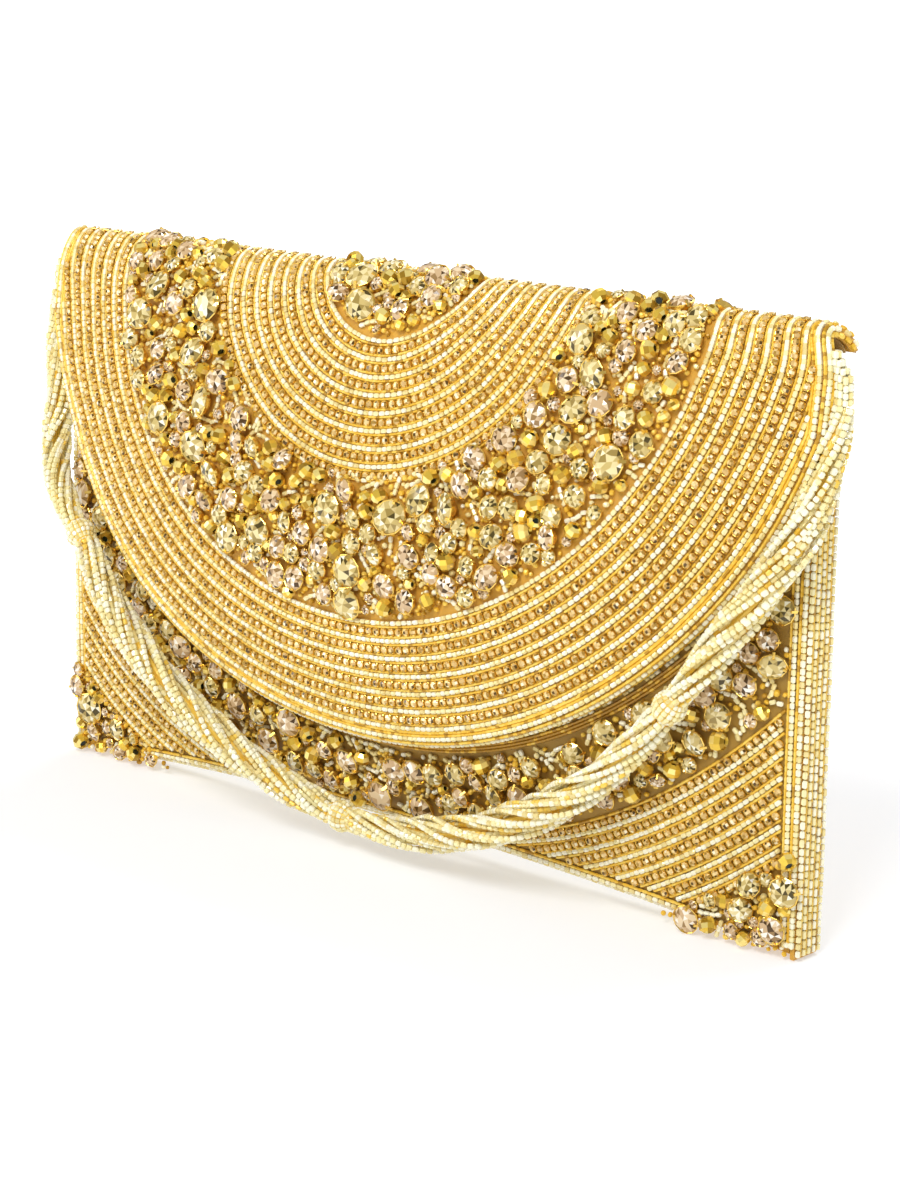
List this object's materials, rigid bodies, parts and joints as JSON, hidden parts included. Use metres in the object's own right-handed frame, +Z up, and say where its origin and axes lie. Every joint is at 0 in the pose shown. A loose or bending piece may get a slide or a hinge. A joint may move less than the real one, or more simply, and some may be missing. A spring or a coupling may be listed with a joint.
{
  "type": "beaded clutch purse",
  "caption": "Beaded evening clutch: stuffed satin pouch, half-round crystal flap that folds over the top, and a hanging rope strap of bead strands.",
  "frame": {"origin": "on the ground under the middle of the purse, flap and crystals included, strap left out", "axes": "+X along the width to the right-hand side seen from the front, -Y out of the front, +Z up"},
  "size_m": [0.2878, 0.0454, 0.1606],
  "materials": {
    "satin": "gold satin, tightly woven",
    "lining_cloth": "plain twill lining",
    "stiffener": "fibre board",
    "bead_work": "rows of silver-lined glass beads and gold thread",
    "crystal_work": "faceted acrylic and glass stones in gold claw cups",
    "pale_beads": "pale cut glass beads",
    "gold_metal": "polished gold plate"
  },
  "bodies": {
    "pouch": {"front_shell": "satin", "front_board": "stiffener", "front_lining": "lining_cloth", "back_shell": "satin", "back_board": "stiffener", "back_lining": "lining_cloth", "base_strip": "satin", "slip_pocket": "lining_cloth", "back_rows": "bead_work", "front_edge_rows": "bead_work", "front_crystal_band": "crystal_work", "front_rows_left": "bead_work", "front_rows_right": "bead_work", "corner_crystals_left": "crystal_work", "corner_crystals_right": "crystal_work", "gusset_left": "satin", "gusset_right": "satin", "gusset_beads_left": "pale_beads", "gusset_beads_right": "pale_beads", "strap_tab_left": "satin", "strap_tab_right": "satin", "snap_socket": "gold_metal", "snap_socket_washer": "gold_metal"},
    "flap": {"flap_lining": "lining_cloth", "flap_board": "stiffener", "flap_shell": "satin", "flap_centre_crystals": "crystal_work", "flap_inner_rows": "bead_work", "flap_crystal_band": "crystal_work", "flap_outer_rows": "bead_work", "snap_stud": "gold_metal", "snap_stud_washer": "gold_metal"},
    "strap": {"strap_run_1": "pale_beads", "strap_run_2": "pale_beads", "strap_run_3": "pale_beads", "strap_run_4": "pale_beads", "strap_ball_1": "pale_beads", "strap_ball_2": "pale_beads", "strap_ball_3": "pale_beads", "strap_cap_left": "gold_metal", "strap_cap_right": "gold_metal"}
  },
  "joints": [
    {"name": "flap_crease", "type": "hinge", "parent": "pouch", "child": "flap", "pos_m": [0, 0.0196, 0.149], "axis": [-1, 0, 0], "range_deg": [0, 180]},
    {"name": "strap_swing", "type": "hinge", "parent": "pouch", "child": "strap", "pos_m": [0, 0.0066, 0.1433], "axis": [-1, 0, 0], "range_deg": [0, 180]}
  ]
}
